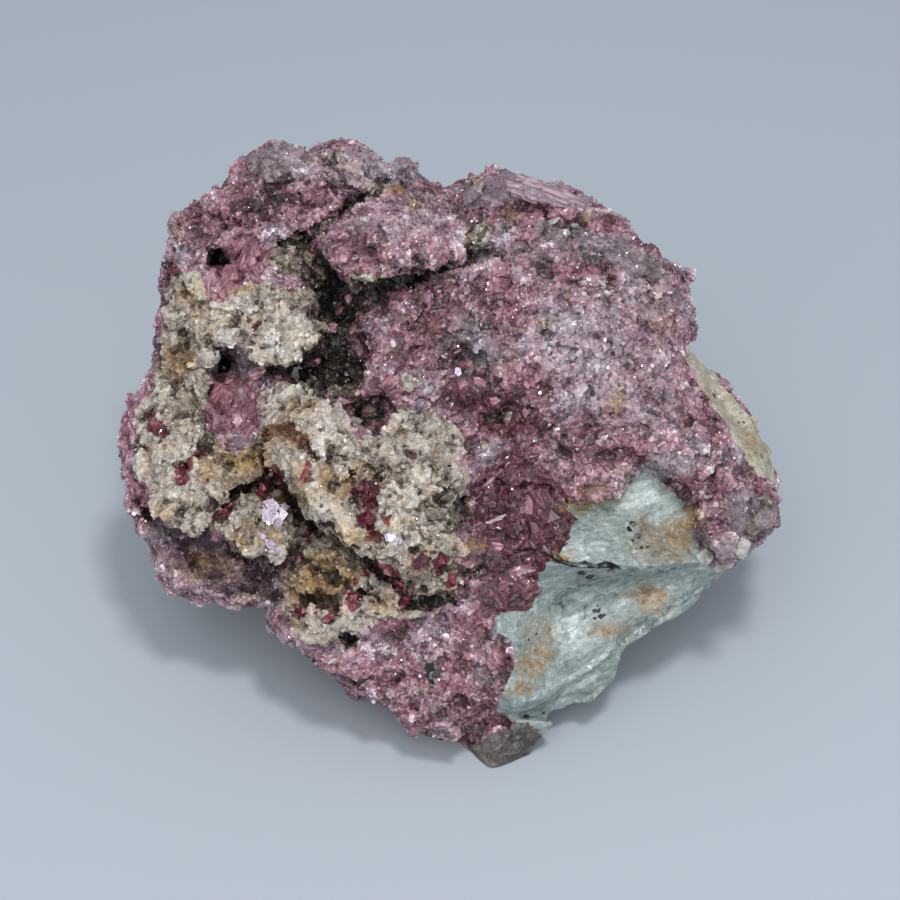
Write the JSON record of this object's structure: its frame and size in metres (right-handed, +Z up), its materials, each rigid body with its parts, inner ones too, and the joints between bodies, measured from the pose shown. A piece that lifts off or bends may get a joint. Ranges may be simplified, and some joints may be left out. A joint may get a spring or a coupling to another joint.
{
  "type": "raw lepidolite specimen",
  "caption": "Broken hand specimen of pink lepidolite mica rock with cream albite, a pale green slab, red crystals and grey quartz, lying on a flat break.",
  "frame": {"origin": "middle of the bounding box, on the flat break the specimen lies on", "axes": "+Z up from the resting break, +X along the specimen's longest width, the broad broken face towards -Y and tilted up"},
  "size_m": [0.0986, 0.0786, 0.0626],
  "materials": {
    "lepidolite_rock": "rough, granular, with glinting mica flakes"
  },
  "bodies": {
    "root": {"lepidolite_specimen": "lepidolite_rock"}
  },
  "joints": []
}
